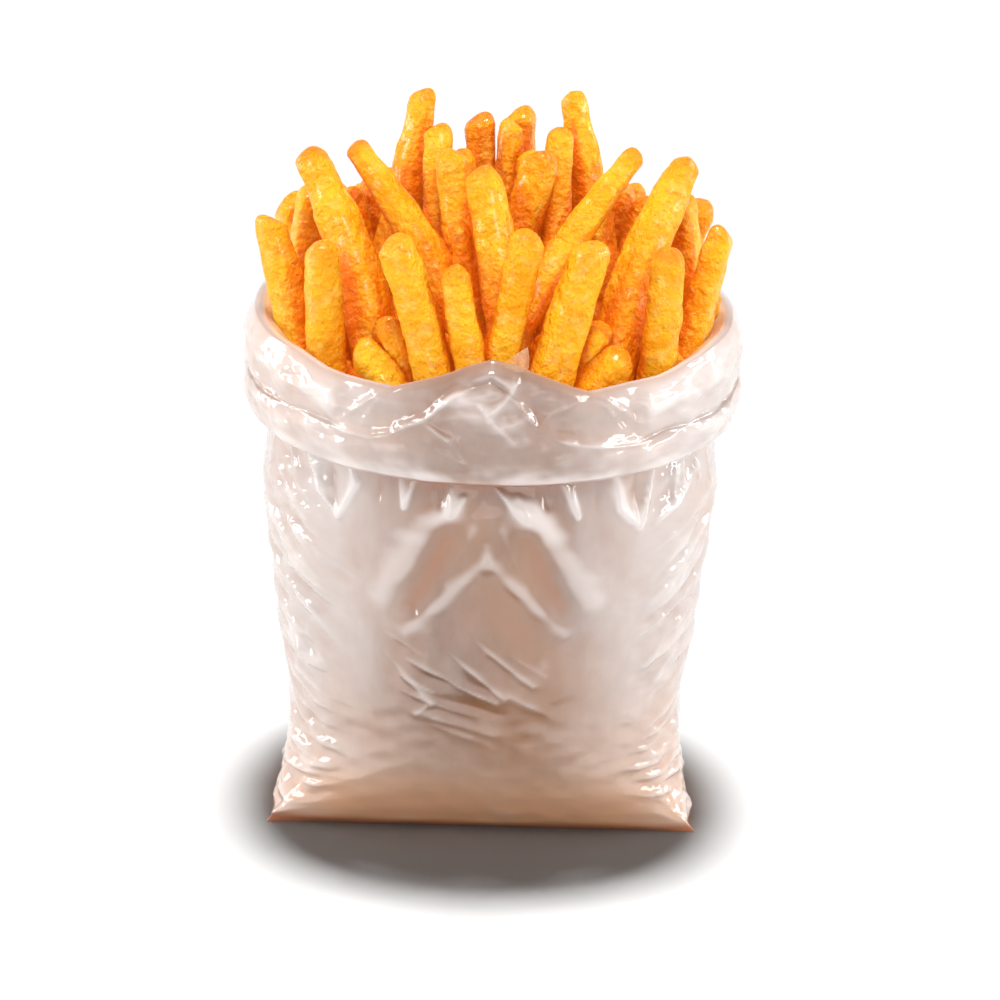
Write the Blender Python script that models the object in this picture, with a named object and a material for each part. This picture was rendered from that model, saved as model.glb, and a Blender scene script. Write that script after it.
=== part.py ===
"""A serving of french fries standing in an open film bag whose mouth is rolled down into a cuff.

The bag stands on its flat base at the origin, with its front towards -Y. Sizes are in
millimetres and become metres where a mesh is made.
"""

import math
import random

import bmesh
import bpy
from mathutils import Vector

MM = 0.001

# The film bag
RIM_HEIGHT = 132.5
CUFF_FRONT = 104.8
CUFF_SIDES = 108.5
FILM_WALL = 1.2
FRONT = math.radians(-90)
AROUND = 64

# height, half width, half depth and squareness of the bag's outline, from the floor to the rim
BAG_OUTLINE = (
    (0.0, 54.0, 27.5, 7.0),
    (1.2, 53.6, 29.0, 6.0),
    (5.0, 52.6, 31.5, 4.6),
    (13.0, 51.0, 35.2, 3.4),
    (24.0, 50.6, 38.6, 2.7),
    (36.0, 51.2, 41.6, 2.5),
    (52.0, 53.3, 45.6, 2.4),
    (68.0, 55.2, 49.4, 2.3),
    (86.0, 57.2, 52.8, 2.2),
    (98.5, 58.0, 54.2, 2.2),
    (RIM_HEIGHT, 58.3, 54.8, 2.2),
)

# How far the rim rises above its height, by degrees round from the middle of the front, and the
# loose corner of film that stands up beside that middle
RIM_LINE = (
    (0.0, 2.9),
    (11.25, -0.8),
    (22.5, -5.1),
    (33.75, -4.0),
    (45.0, -2.6),
    (67.5, -0.7),
    (90.0, 0.0),
    (180.0, 0.0),
)
PEAK_TURN = 9.0
PEAK_SPREAD = 4.5
PEAK_RISE = 6.0

# How far down the cuff, from 0 at the rim to 1 at its lower edge, and how far out of the outline
CUFF_PROFILE = (
    (0.96, 0.3),
    (1.00, 1.4),
    (1.02, 2.8),
    (0.96, 4.0),
    (0.84, 4.5),
    (0.68, 4.2),
    (0.56, 3.3),
    (0.46, 4.1),
    (0.30, 4.6),
    (0.15, 4.2),
    (0.05, 3.0),
    (0.00, 1.3),
    (0.02, -0.2),
    (0.12, -FILM_WALL),
)

# The back of the bag is rounder than its front, whose straight bottom seam ends in two corners
BACK_SQUARENESS = 2.6
EAR_TIP = (55.2, -28.0)
EAR_TURN = math.radians(45)
EAR_SPREAD = math.radians(9)
EAR_HEIGHT = 15.0

# Creases of the front face: start x, start height, end x, end height, half width, depth
FRONT_FOLDS = (
    (0.0, 83.0, 19.5, 62.5, 3.6, 1.0),
    (8.7, 95.5, 25.1, 73.0, 5.0, 1.0),
    (13.0, 88.0, 20.0, 68.0, 3.4, -0.6),
)

# The fries are chamfered square sticks, given by their corners' angles and their rings' sizes
FRY_CORNERS = [90 * side + cut for side in range(4) for cut in (30, 60)]
CORNER_REACH = 0.55
FRY_FOOT = 112.0
LYING_SLOPE = 2.0
LYING_DEPTH = 9.0
LEAST_UPRIGHT = 0.78
HEAP_EDGE = 122.0
HEAP_TOP = 135.0
CORE_GAP = 0.6

# Where a fry's rings lie along its shaft, and then how far below the tip, in thicknesses, and
# how wide each ring of its blunt end is
SHAFT_RINGS = (0.0, 0.33, 0.62)
BLUNT_END = ((0.30, 1.0), (0.08, 0.82), (0.0, 0.46))

# The fries that come in left and right pairs, the left one given: tip x, y, height, then x and
# y where the fry passes the rim's height, its thickness, its tip's share of that, and its bow
PAIRED_FRIES = (
    (-56.0, -8, 156, -50.5, -14.5, 8.4, 0.80, 0.6),
    (-46.0, 10, 158, -48.0, 7, 8.8, 0.85, 0.3),
    (-47.4, 0, 171, -30.5, -25.5, 11.0, 0.60, 3.6),
    (-41.4, -30, 156.5, -41.8, -35.5, 10.0, 0.86, 0.5),
    (-38.0, 14, 157, -33.0, 8, 8.8, 0.80, 0.3),
    (-32.0, 24, 158, -25.0, 18, 9.0, 0.80, 0.3),
    (-25.4, -37, 160.5, -14.6, -45, 9.6, 0.88, 1.2),
    (-18.4, 24, 181, -29.0, 6, 9.0, 0.60, 0.0),
    (-15.3, 12, 175, -15.0, -8, 7.6, 0.88, 0.3),
    (-11.6, 0, 172, -5.0, -12, 9.0, 0.88, 0.4),
    (-9.0, 14, 168, -4.0, 5, 8.6, 0.80, 0.3),
    (-33.5, -36, 132.5, -17.0, -44, 9.0, 0.84, 0.8),
    (-30.0, -30, 135, -12.0, -28, 8.6, 0.80, 0.6),
)

# The fries that stand alone, in the same order of values
SINGLE_FRIES = (
    (-35.2, 4, 172, -4.2, -30, 9.6, 0.56, 2.4),
    (35.0, 4, 171.5, 8.4, -31, 9.6, 0.56, 2.4),
    (-4.6, -12, 170.5, -0.6, -38, 9.8, 0.88, 1.0),
    (-10.2, -18, 158, -9.0, -24, 5.2, 0.90, 0.2),
    (-10.3, -40, 154, -4.4, -47, 8.2, 0.84, 0.3),
    (9.0, -36, 162.5, 4.2, -46, 9.0, 0.94, 0.3),
    (-5.1, 27, 174, -2.6, 12, 8.0, 0.95, 0.2),
    (5.0, 31, 175, 6.0, 18, 8.2, 0.95, 0.2),
    (3.6, 19, 174.5, 1.0, 8, 8.2, 0.60, 0.3),
)

# The rest of the heap fills the mouth on a sunflower spiral, wherever there is room. These
# fries are short at the front, and rise over a stretch of the mouth towards the back.
RANDOM_SEED = 11
SPIRAL_SEEDS = 190
SPIRAL_TURN = math.pi * (3 - math.sqrt(5))
SPIRAL_REACH = 0.88
FILL_SPACING = 8.2
FILL_THICKNESS = 9.4
FILL_FRONT_TOP = 136.5
FILL_BACK_TOP = 157.0
FILL_EDGE_DROP = 7.0
FILL_UNEVEN = 3.0
RISE_STARTS = -8.0
RISE_ENDS = 22.0
LEAN_MIDDLE = 0.1
LEAN_EDGE = 0.45
LEAN_ASIDE = 0.5
SPREAD_ROUNDS = 60

# How far the fries placed by hand give way where two fries would run through each other
PLACED_YIELDS = 0.18


def clear_scene():
    for item in list(bpy.data.objects):
        bpy.data.objects.remove(item)


def between(low, high, share):
    return low + (high - low) * share


def bell(value, middle, width):
    return math.exp(-(((value - middle) / width) ** 2))


def outline_at(height):
    """Half width, half depth and squareness of the bag at a height."""
    for lower, upper in zip(BAG_OUTLINE, BAG_OUTLINE[1:]):
        if height <= upper[0]:
            share = max(0.0, (height - lower[0]) / (upper[0] - lower[0]))
            return tuple(between(a, b, share) for a, b in zip(lower[1:], upper[1:]))
    return BAG_OUTLINE[-1][1:]


def around_bag(angle, height, outward=0.0):
    """A point of the bag's rounded outline, moved out by a distance."""
    half_width, half_depth, squareness = outline_at(height)
    x = math.cos(angle)
    y = math.sin(angle)
    if y > 0:
        squareness = min(squareness, BACK_SQUARENESS)
    reach = (abs(x) ** squareness + abs(y) ** squareness) ** (-1 / squareness)
    return Vector((x * reach * (half_width + outward), y * reach * (half_depth + outward), height))


def rim_rise(angle):
    """The rim has a notch at two places of the front and comes to a small peak between them."""
    turn = math.degrees(math.remainder(angle - FRONT, math.tau))
    for (near, low), (far, high) in zip(RIM_LINE, RIM_LINE[1:]):
        if abs(turn) <= far:
            line = between(low, high, (abs(turn) - near) / (far - near))
            break
    return line + PEAK_RISE * bell(turn, PEAK_TURN, PEAK_SPREAD)


def fold_relief(x, height):
    """How far the creases of the front face stand out at one side of its middle line."""
    relief = 0.0
    for x1, z1, x2, z2, half_width, depth in FRONT_FOLDS:
        run = Vector((x2 - x1, z2 - z1))
        offset = Vector((abs(x) - x1, height - z1))
        share = offset.dot(run) / run.length_squared
        inside = min(1.0, max(0.0, share))
        miss = (offset - run * inside).length
        relief += depth * bell(miss, 0.0, half_width)
    return relief


def ear_pull(angle, height):
    """How much of the way to its ear tip a point near a bottom corner is drawn."""
    if height >= EAR_HEIGHT:
        return 0.0
    turn = abs(math.remainder(angle - FRONT, math.tau))
    return bell(turn, EAR_TURN, EAR_SPREAD) * (1 - height / EAR_HEIGHT) ** 2


def skin_point(angle, height):
    """A point of the bag's outer skin below the cuff."""
    point = around_bag(angle, height)
    if point.y < 0:
        point.y -= fold_relief(point.x, height)
    tip = Vector((math.copysign(EAR_TIP[0], point.x), EAR_TIP[1], height))
    return point.lerp(tip, ear_pull(angle, height))


def cuff_bottom(angle):
    """The cuff hangs lower at the front and the back than at the sides."""
    return between(CUFF_FRONT, CUFF_SIDES, math.cos(angle) ** 2)


def cuff_point(angle, down, outward):
    """A point of the cuff, given by how far down it is and how far out of the outline."""
    top = RIM_HEIGHT + rim_rise(angle)
    height = between(top, cuff_bottom(angle), down)
    point = around_bag(angle, min(height, RIM_HEIGHT), outward)
    point.z = height
    return point


def ring_angles(count):
    return [math.tau * i / count for i in range(count)]


def closed_stack(rings):
    """One closed mesh from a stack of rings, with a flat cap on the first and the last."""
    shape = bmesh.new()
    rows = [[shape.verts.new(point * MM) for point in ring] for ring in rings]
    for lower, upper in zip(rows, rows[1:]):
        for i, corner in enumerate(lower):
            j = (i + 1) % len(lower)
            shape.faces.new((corner, lower[j], upper[j], upper[i]))
    shape.faces.new(list(reversed(rows[0])))
    shape.faces.new(rows[-1])
    bmesh.ops.triangulate(shape, faces=shape.faces)
    bmesh.ops.recalc_face_normals(shape, faces=shape.faces)
    return shape


def material(name, colour, roughness):
    made = bpy.data.materials.new(name)
    made.use_nodes = True
    shader = made.node_tree.nodes["Principled BSDF"]
    shader.inputs["Base Color"].default_value = (*colour, 1)
    shader.inputs["Roughness"].default_value = roughness
    shader.inputs["Metallic"].default_value = 0.0
    return made


def add_object(name, shape, finish):
    mesh = bpy.data.meshes.new(name)
    shape.to_mesh(mesh)
    shape.free()
    mesh.materials.append(finish)
    made = bpy.data.objects.new(name, mesh)
    bpy.context.scene.collection.objects.link(made)
    return made


def build_bag():
    angles = ring_angles(AROUND)
    skin_heights = [row[0] for row in BAG_OUTLINE[:-1]]
    inner_heights = [CUFF_FRONT, 86.0, 68.0, 52.0, 36.0, 24.0, 13.0, 5.0, FILM_WALL]
    rings = [[skin_point(a, z) for a in angles] for z in skin_heights]
    rings += [[cuff_point(a, down, out) for a in angles] for down, out in CUFF_PROFILE]
    rings += [[around_bag(a, z, -FILM_WALL) for a in angles] for z in inner_heights]
    finish = material("pearly_film", (0.80, 0.71, 0.66), 0.18)
    bag = add_object("bag", closed_stack(rings), finish)
    bag.data.shade_smooth()
    bag.data.set_sharp_from_angle(angle=math.radians(40))
    return bag


def build_core():
    """The packed fries that can't be seen, as one solid with a low dome on top."""
    angles = ring_angles(AROUND // 2)
    inset = FILM_WALL + CORE_GAP
    heights = [inset, 5.0, 13.0, 24.0, 36.0, 52.0, 68.0, 86.0, CUFF_FRONT, HEAP_EDGE]
    rings = [[around_bag(a, z, -inset) for a in angles] for z in heights]
    edge = rings[-1]
    for share in (0.82, 0.5, 0.2):
        top = between(HEAP_EDGE, HEAP_TOP, 1 - share**2)
        rings.append([Vector((p.x * share, p.y * share, top)) for p in edge])
    return closed_stack(rings)


class Fry:
    """One fry: its tip, its foot inside the heap, its thickness and its bow."""

    def __init__(self, tip, mouth, thickness, tip_share, bow, yields=1.0):
        self.tip = Vector(tip)
        self.yields = yields
        self.thickness = thickness
        self.tip_share = tip_share
        crossing = Vector((*mouth, RIM_HEIGHT))
        rise = self.tip.z - RIM_HEIGHT
        run = self.tip - crossing
        if run.to_2d().length > LYING_SLOPE * rise:
            self.foot = crossing - Vector((0, 0, LYING_DEPTH))
        else:
            self.foot = crossing - run / rise * (RIM_HEIGHT - FRY_FOOT)
        self.bend = Vector((math.copysign(bow, self.foot.x - self.tip.x), 0, 0.3 * bow))

    def at(self, share):
        """A point of the fry's middle line, from its foot to its tip."""
        return self.foot.lerp(self.tip, share) + self.bend * 4 * share * (1 - share)

    def reach_at(self, share):
        """How far the fry's corners stand out there: it narrows over its upper half."""
        taper = max(0.0, 2 * share - 1) ** 1.5
        return CORNER_REACH * self.thickness * between(1.0, self.tip_share, taper)

    def rim_share(self):
        rise = self.tip.z - self.foot.z
        return min(1.0, max(0.0, (RIM_HEIGHT - self.foot.z) / rise))

    def keep_inside(self):
        """Moves the foot until the fry clears the film up to the rim."""
        upright = (self.tip - self.foot).normalized().z
        reach = CORNER_REACH * self.thickness / max(LEAST_UPRIGHT, upright)
        self.foot = into_mouth(self.foot, reach)
        share = self.rim_share()
        if share > 0.8:
            self.tip = into_mouth(self.tip, reach)
            return
        crossing = self.at(share)
        shift = into_mouth(crossing, reach) - crossing
        self.foot += shift / (1 - share)


def into_mouth(point, radius):
    """Draws a point inwards until a fry of that radius clears the film."""
    half_width, half_depth, squareness = outline_at(min(point.z, RIM_HEIGHT))
    room = FILM_WALL + CORE_GAP + radius
    across = abs(point.x) / (half_width - room)
    deep = abs(point.y) / (half_depth - room)
    reach = max(1.0, (across**squareness + deep**squareness) ** (1 / squareness))
    return Vector((point.x / reach, point.y / reach, point.z))


def hand_placed_fries():
    fries = []
    for x, y, z, mouth_x, mouth_y, *form in PAIRED_FRIES:
        fries.append(Fry((x, y, z), (mouth_x, mouth_y), *form, PLACED_YIELDS))
        fries.append(Fry((-x, y, z), (-mouth_x, mouth_y), *form, PLACED_YIELDS))
    for x, y, z, mouth_x, mouth_y, *form in SINGLE_FRIES:
        fries.append(Fry((x, y, z), (mouth_x, mouth_y), *form, PLACED_YIELDS))
    return fries


def fill_mouth(fries, draw):
    """Adds a fry at each seed of the spiral that is clear of those already standing."""
    half_width, half_depth, _ = outline_at(RIM_HEIGHT)
    standing = [fry.at(fry.rim_share()).to_2d() for fry in fries]
    for seed in range(SPIRAL_SEEDS):
        reach = SPIRAL_REACH * math.sqrt((seed + 0.5) / SPIRAL_SEEDS)
        outward = Vector((math.cos(seed * SPIRAL_TURN), math.sin(seed * SPIRAL_TURN)))
        place = Vector((outward.x * half_width, outward.y * half_depth)) * reach
        if any((place - other).length < FILL_SPACING for other in standing):
            continue
        standing.append(place)
        back = min(1.0, max(0.0, (place.y - RISE_STARTS) / (RISE_ENDS - RISE_STARTS)))
        top = between(FILL_FRONT_TOP, FILL_BACK_TOP - FILL_EDGE_DROP * reach, back)
        top += draw.uniform(-FILL_UNEVEN, FILL_UNEVEN)
        lean = outward * between(LEAN_MIDDLE, LEAN_EDGE, reach)
        lean += outward.orthogonal() * draw.uniform(-LEAN_ASIDE, LEAN_ASIDE)
        tip = place + lean * (top - RIM_HEIGHT)
        thickness = FILL_THICKNESS + draw.uniform(-1, 1)
        form = (thickness, draw.uniform(0.7, 0.95), draw.uniform(0, 1.5))
        fries.append(Fry((*tip, top), place, *form))


def closest_shares(a, b):
    """How far along each of two straight fries their closest points lie."""
    run_a = a.tip - a.foot
    run_b = b.tip - b.foot
    offset = a.foot - b.foot
    aa = run_a.dot(run_a)
    bb = run_b.dot(run_b)
    ab = run_a.dot(run_b)
    ao = run_a.dot(offset)
    bo = run_b.dot(offset)
    spread = aa * bb - ab * ab
    share_a = (ab * bo - bb * ao) / spread if spread > 1e-6 else 0.5
    share_a = min(1.0, max(0.0, share_a))
    share_b = min(1.0, max(0.0, (ab * share_a + bo) / bb))
    share_a = min(1.0, max(0.0, (ab * share_b - ao) / aa))
    return share_a, share_b


def push_apart(fries):
    """Moves fries that run through each other apart, mostly at their hidden feet."""
    for _ in range(SPREAD_ROUNDS):
        for i, a in enumerate(fries):
            for b in fries[i + 1 :]:
                share_a, share_b = closest_shares(a, b)
                gap = a.foot.lerp(a.tip, share_a) - b.foot.lerp(b.tip, share_b)
                gap.z *= 0.3
                wanted = 0.5 * (a.thickness + b.thickness)
                if gap.length >= wanted:
                    continue
                way = gap.normalized() if gap.length > 1e-3 else Vector((0, 1, 0))
                push = way * (wanted - gap.length) * 0.25
                a.foot += push * (1 - share_a * 0.5) * a.yields
                b.foot -= push * (1 - share_b * 0.5) * b.yields
                a.tip += push * share_a * 0.25 * a.yields
                b.tip -= push * share_b * 0.25 * b.yields
        for fry in fries:
            fry.keep_inside()


def fry_shape(fry, draw):
    """A blunt stick with a chamfered square section along the fry's middle line."""
    length = (fry.tip - fry.foot).length
    along = (fry.tip - fry.foot).normalized()
    sideways = along.orthogonal().normalized()
    across = along.cross(sideways)
    turn = draw.uniform(0, 90)
    stations = [(share, 1.0) for share in SHAFT_RINGS]
    stations += [(1 - below * fry.thickness / length, wide) for below, wide in BLUNT_END]
    rings = []
    for share, wide in stations:
        reach = fry.reach_at(share) * wide
        ring = []
        for corner in FRY_CORNERS:
            angle = math.radians(corner + turn)
            offset = sideways * math.cos(angle) + across * math.sin(angle)
            ring.append(fry.at(share) + offset * reach)
        rings.append(ring)
    return closed_stack(rings)


def keep_outer_shell(mesh):
    """Drops sealed hollows and loose scraps, so that one closed body is left."""
    shape = bmesh.new()
    shape.from_mesh(mesh)
    unseen = set(shape.verts)
    shells = []
    while unseen:
        shell = {unseen.pop()}
        edge_of = list(shell)
        while edge_of:
            vertex = edge_of.pop()
            for edge in vertex.link_edges:
                other = edge.other_vert(vertex)
                if other in unseen:
                    unseen.remove(other)
                    shell.add(other)
                    edge_of.append(other)
        shells.append(shell)
    largest = max(shells, key=len)
    extra = [vertex for shell in shells if shell is not largest for vertex in shell]
    bmesh.ops.delete(shape, geom=extra, context="VERTS")
    shape.to_mesh(mesh)
    shape.free()


def build_fries():
    draw = random.Random(RANDOM_SEED)
    fries = hand_placed_fries()
    fill_mouth(fries, draw)
    push_apart(fries)
    finish = material("fried_potato", (0.95, 0.50, 0.07), 0.5)
    heap = add_object("fries", build_core(), finish)
    sticks = bpy.data.collections.new("sticks")
    bpy.context.scene.collection.children.link(sticks)
    for number, fry in enumerate(fries):
        stick = add_object(f"stick_{number}", fry_shape(fry, draw), finish)
        bpy.context.scene.collection.objects.unlink(stick)
        sticks.objects.link(stick)
    join = heap.modifiers.new("join", "BOOLEAN")
    join.operation = "UNION"
    join.operand_type = "COLLECTION"
    join.collection = sticks
    join.solver = "EXACT"
    bpy.context.view_layer.update()
    graph = bpy.context.evaluated_depsgraph_get()
    joined = bpy.data.meshes.new_from_object(heap.evaluated_get(graph))
    heap.modifiers.clear()
    heap.data = joined
    for stick in list(sticks.objects):
        bpy.data.objects.remove(stick)
    bpy.data.collections.remove(sticks)
    keep_outer_shell(heap.data)
    return heap


def main():
    clear_scene()
    build_bag()
    build_fries()


main()
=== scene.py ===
"""French fries standing in an open bag of pearly film, its mouth rolled down into a cuff.

Sizes are in millimetres, with +Z up and the front of the bag towards -Y. They become metres
where a mesh is made. A place on the bag is given by its turn, the angle round from the middle
of the front, and by its height, or on the front face by x and height.
"""

import math
import random

import bpy
import numpy as np
from mathutils import Matrix, Vector
from mathutils.bvhtree import BVHTree


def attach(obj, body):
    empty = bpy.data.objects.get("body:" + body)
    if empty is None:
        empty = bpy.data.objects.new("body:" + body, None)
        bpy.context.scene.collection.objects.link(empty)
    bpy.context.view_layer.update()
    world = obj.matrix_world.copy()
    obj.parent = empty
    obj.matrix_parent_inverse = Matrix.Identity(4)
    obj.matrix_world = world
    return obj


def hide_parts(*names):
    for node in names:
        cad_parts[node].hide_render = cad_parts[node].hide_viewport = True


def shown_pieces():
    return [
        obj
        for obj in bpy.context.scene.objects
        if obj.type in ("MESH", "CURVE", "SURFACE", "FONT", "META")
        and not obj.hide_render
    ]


MM = 0.001

# The film bag
RIM_HEIGHT = 132.5
CUFF_FRONT = 104.8
CUFF_SIDES = 108.5
FILM_WALL = 1.2
HIDDEN_WALL = 5.0

# height, half width, half depth and squareness of the bag's outline, from the floor to the rim
BAG_OUTLINE = np.array((
    (0.0, 54.0, 27.5, 7.0),
    (1.2, 53.6, 29.0, 6.0),
    (5.0, 52.6, 31.5, 4.6),
    (13.0, 51.0, 35.2, 3.4),
    (24.0, 50.6, 38.6, 2.7),
    (36.0, 51.2, 41.6, 2.5),
    (52.0, 53.3, 45.6, 2.4),
    (68.0, 55.2, 49.4, 2.3),
    (86.0, 57.2, 52.8, 2.2),
    (98.5, 58.0, 54.2, 2.2),
    (132.5, 58.3, 54.8, 2.2),
))

# The back of the bag is rounder than its front, whose straight bottom seam ends in two corners
BACK_SQUARENESS = 2.6
EAR_TIP = (55.2, -28.0)
EAR_TURN = math.radians(45)
EAR_SPREAD = math.radians(9)
EAR_HEIGHT = 15.0

# The fries
FRY_FOOT = 112.0
LYING_SLOPE = 2.0
LYING_DEPTH = 9.0
LEAST_UPRIGHT = 0.78
CORNER_REACH = 0.55
CORE_GAP = 0.6

# The fries that come in left and right pairs, the left one given: tip x, y, height, then x and
# y where the fry passes the rim's height, its thickness, its tip's share of that, and its bow
PAIRED_FRIES = (
    (-56.0, -8, 156, -50.5, -14.5, 8.4, 0.80, 0.6),
    (-46.0, 10, 158, -48.0, 7, 8.8, 0.85, 0.3),
    (-47.4, 0, 171, -30.5, -25.5, 11.0, 0.60, 3.6),
    (-41.4, -30, 156.5, -41.8, -35.5, 10.0, 0.86, 0.5),
    (-38.0, 14, 157, -33.0, 8, 8.8, 0.80, 0.3),
    (-32.0, 24, 158, -25.0, 18, 9.0, 0.80, 0.3),
    (-25.4, -37, 160.5, -14.6, -45, 9.6, 0.88, 1.2),
    (-18.4, 24, 181, -29.0, 6, 9.0, 0.60, 0.0),
    (-15.3, 12, 175, -15.0, -8, 7.6, 0.88, 0.3),
    (-11.6, 0, 172, -5.0, -12, 9.0, 0.88, 0.4),
    (-9.0, 14, 168, -4.0, 5, 8.6, 0.80, 0.3),
    (-33.5, -36, 132.5, -17.0, -44, 9.0, 0.84, 0.8),
    (-30.0, -30, 135, -12.0, -28, 8.6, 0.80, 0.6),
)

# The fries that stand alone, in the same order of values
SINGLE_FRIES = (
    (-35.2, 4, 172, -4.2, -30, 9.6, 0.56, 2.4),
    (35.0, 4, 171.5, 8.4, -31, 9.6, 0.56, 2.4),
    (-4.6, -12, 170.5, -0.6, -38, 9.8, 0.88, 1.0),
    (-10.2, -18, 158, -9.0, -24, 5.2, 0.90, 0.2),
    (-10.3, -40, 154, -4.4, -47, 8.2, 0.84, 0.3),
    (9.0, -36, 162.5, 4.2, -46, 9.0, 0.94, 0.3),
    (-5.1, 27, 174, -2.6, 12, 8.0, 0.95, 0.2),
    (5.0, 31, 175, 6.0, 18, 8.2, 0.95, 0.2),
    (3.6, 19, 174.5, 1.0, 8, 8.2, 0.60, 0.3),
)

# The rest of the heap fills the mouth on a sunflower spiral, wherever there is room. These
# fries are short at the front, and rise over a stretch of the mouth towards the back.
RANDOM_SEED = 11
SPIRAL_SEEDS = 190
SPIRAL_TURN = math.pi * (3 - math.sqrt(5))
SPIRAL_REACH = 0.88
FILL_SPACING = 8.2
FILL_THICKNESS = 9.4
FILL_FRONT_TOP = 136.5
FILL_BACK_TOP = 157.0
FILL_EDGE_DROP = 7.0
FILL_UNEVEN = 3.0
RISE_STARTS = -8.0
RISE_ENDS = 22.0
LEAN_MIDDLE = 0.1
LEAN_EDGE = 0.45
LEAN_ASIDE = 0.5
SPREAD_ROUNDS = 60

# How far the fries of the tables give way where two fries would run through each other
PLACED_YIELDS = 0.18

# Creases of the front face of the bag: start x and height, end x and height, half width and
# how far they stand out. Each is repeated on the other side of the middle line.
FRONT_FOLDS = (
    (0.0, 84.0, 19.5, 62.0, 2.4, 1.1),
    (10.5, 96.0, 25.5, 72.0, 5.0, 1.3),
    (10.5, 88.5, 18.5, 70.0, 3.8, -1.9),
    (0.5, 76.0, 9.0, 60.0, 7.0, -0.9),
    (0.0, 88.0, 0.0, 80.0, 1.2, 0.4),
    (20.5, 61.0, 23.0, 50.0, 2.6, -0.4),
    (28.5, 93.0, 34.5, 76.0, 4.0, -0.4),
    (13.5, 62.0, 14.5, 53.0, 1.6, 0.3),
    (3.5, 92.0, 10.0, 77.0, 1.6, 0.4),
)

# Fine creases that only one side has, low on the front
LOW_CREASES = (
    (-24.0, 54.5, -13.0, 41.0, 0.9, 0.8),
    (-21.0, 49.0, -12.5, 44.5, 0.7, 0.6),
    (-13.0, 41.0, -17.0, 37.0, 0.8, 0.6),
    (-19.0, 54.0, 3.0, 41.5, 1.2, 0.9),
    (-9.0, 57.0, 5.0, 43.0, 1.0, 0.8),
    (-2.0, 60.0, 12.0, 47.0, 1.0, 0.8),
    (4.0, 58.0, 15.0, 50.0, 0.9, 0.5),
    (-20.0, 44.0, -2.0, 37.5, 1.0, 0.6),
    (-17.0, 38.0, 3.0, 31.5, 1.3, 0.6),
    (-12.0, 34.0, 2.0, 28.0, 1.2, 0.4),
    (-24.0, 61.0, -16.0, 56.0, 1.0, 0.5),
    (6.0, 44.0, 16.0, 38.0, 1.2, 0.5),
    (-14.0, 49.0, 0.0, 46.0, 2.0, -0.7),
    (-10.0, 42.0, 5.0, 38.0, 2.2, -0.6),
)

# Gathers that hang from the cuff's lower edge on the front, and short creases low on its
# sides, given alike but with the arc from the middle in place of x
FRONT_GATHERS = (
    (-57.0, 105.5, -52.0, 97.8, 0.8, 1.0),
    (-48.8, 106.0, -42.5, 95.8, 0.8, 1.1),
    (-42.5, 95.8, -36.7, 90.8, 0.8, 1.0),
    (-34.8, 105.0, -31.9, 100.2, 0.8, 1.0),
    (-31.9, 100.2, -36.7, 90.8, 0.9, 1.1),
    (-40.5, 103.5, -38.0, 94.0, 1.6, -0.8),
    (-21.0, 103.5, -19.7, 96.2, 0.7, 0.9),
    (-17.4, 103.5, -19.7, 96.2, 0.7, 0.9),
    (-26.0, 103.0, -26.5, 97.0, 1.4, -0.6),
    (-8.6, 102.0, -8.4, 95.8, 0.7, 0.7),
    (-5.7, 99.8, -8.4, 95.8, 0.7, 0.9),
    (-12.5, 103.0, -11.0, 96.5, 1.2, -0.6),
    (-0.5, 103.0, -1.5, 98.0, 1.0, -0.4),
    (1.5, 102.5, 8.1, 95.1, 0.7, 0.9),
    (6.6, 100.0, 9.5, 94.3, 0.7, 0.8),
    (13.0, 103.5, 13.5, 97.0, 1.4, -0.6),
    (17.6, 103.0, 21.1, 94.5, 0.7, 1.0),
    (19.9, 101.5, 21.1, 94.5, 0.7, 0.9),
    (26.0, 103.0, 26.0, 96.0, 1.4, -0.6),
    (30.6, 104.0, 31.6, 95.4, 0.8, 1.0),
    (31.6, 95.4, 37.0, 89.8, 0.9, 1.1),
    (42.4, 105.0, 39.5, 96.8, 0.8, 1.0),
    (39.5, 96.8, 37.0, 89.8, 0.9, 1.1),
    (36.5, 103.5, 36.0, 96.0, 1.6, -0.8),
    (49.7, 102.5, 48.2, 94.3, 0.8, 0.9),
    (52.6, 105.0, 52.1, 96.0, 0.8, 1.0),
    (57.6, 106.0, 59.9, 96.2, 0.8, 1.0),
    (-46.0, 104.0, -41.5, 95.0, 2.4, 0.7),
    (-33.0, 103.0, -35.0, 93.5, 1.8, 0.6),
    (-19.3, 103.0, -19.7, 97.5, 1.6, 0.5),
    (-7.5, 101.0, -8.4, 96.5, 1.2, 0.4),
    (4.5, 101.0, 8.5, 95.5, 1.6, 0.4),
    (18.8, 102.0, 21.0, 95.5, 1.4, 0.5),
    (31.5, 103.0, 34.5, 92.0, 2.2, 0.7),
    (41.0, 104.0, 38.5, 94.0, 2.0, 0.6),
    (51.0, 104.0, 50.0, 95.0, 1.8, 0.6),
    (-57.5, 81.0, -43.0, 71.5, 2.4, 1.3),
    (-53.0, 84.0, -46.0, 78.0, 1.4, 0.8),
    (-54.0, 53.5, -48.0, 46.0, 1.8, 1.2),
    (-48.5, 55.0, -42.5, 47.5, 1.6, 1.0),
    (57.5, 79.0, 43.0, 68.5, 2.4, 1.3),
    (52.0, 72.0, 45.0, 65.0, 1.4, 0.8),
    (54.0, 51.0, 47.0, 43.5, 1.8, 1.2),
    (49.0, 56.0, 43.0, 49.0, 1.5, 1.0),
)

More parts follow.
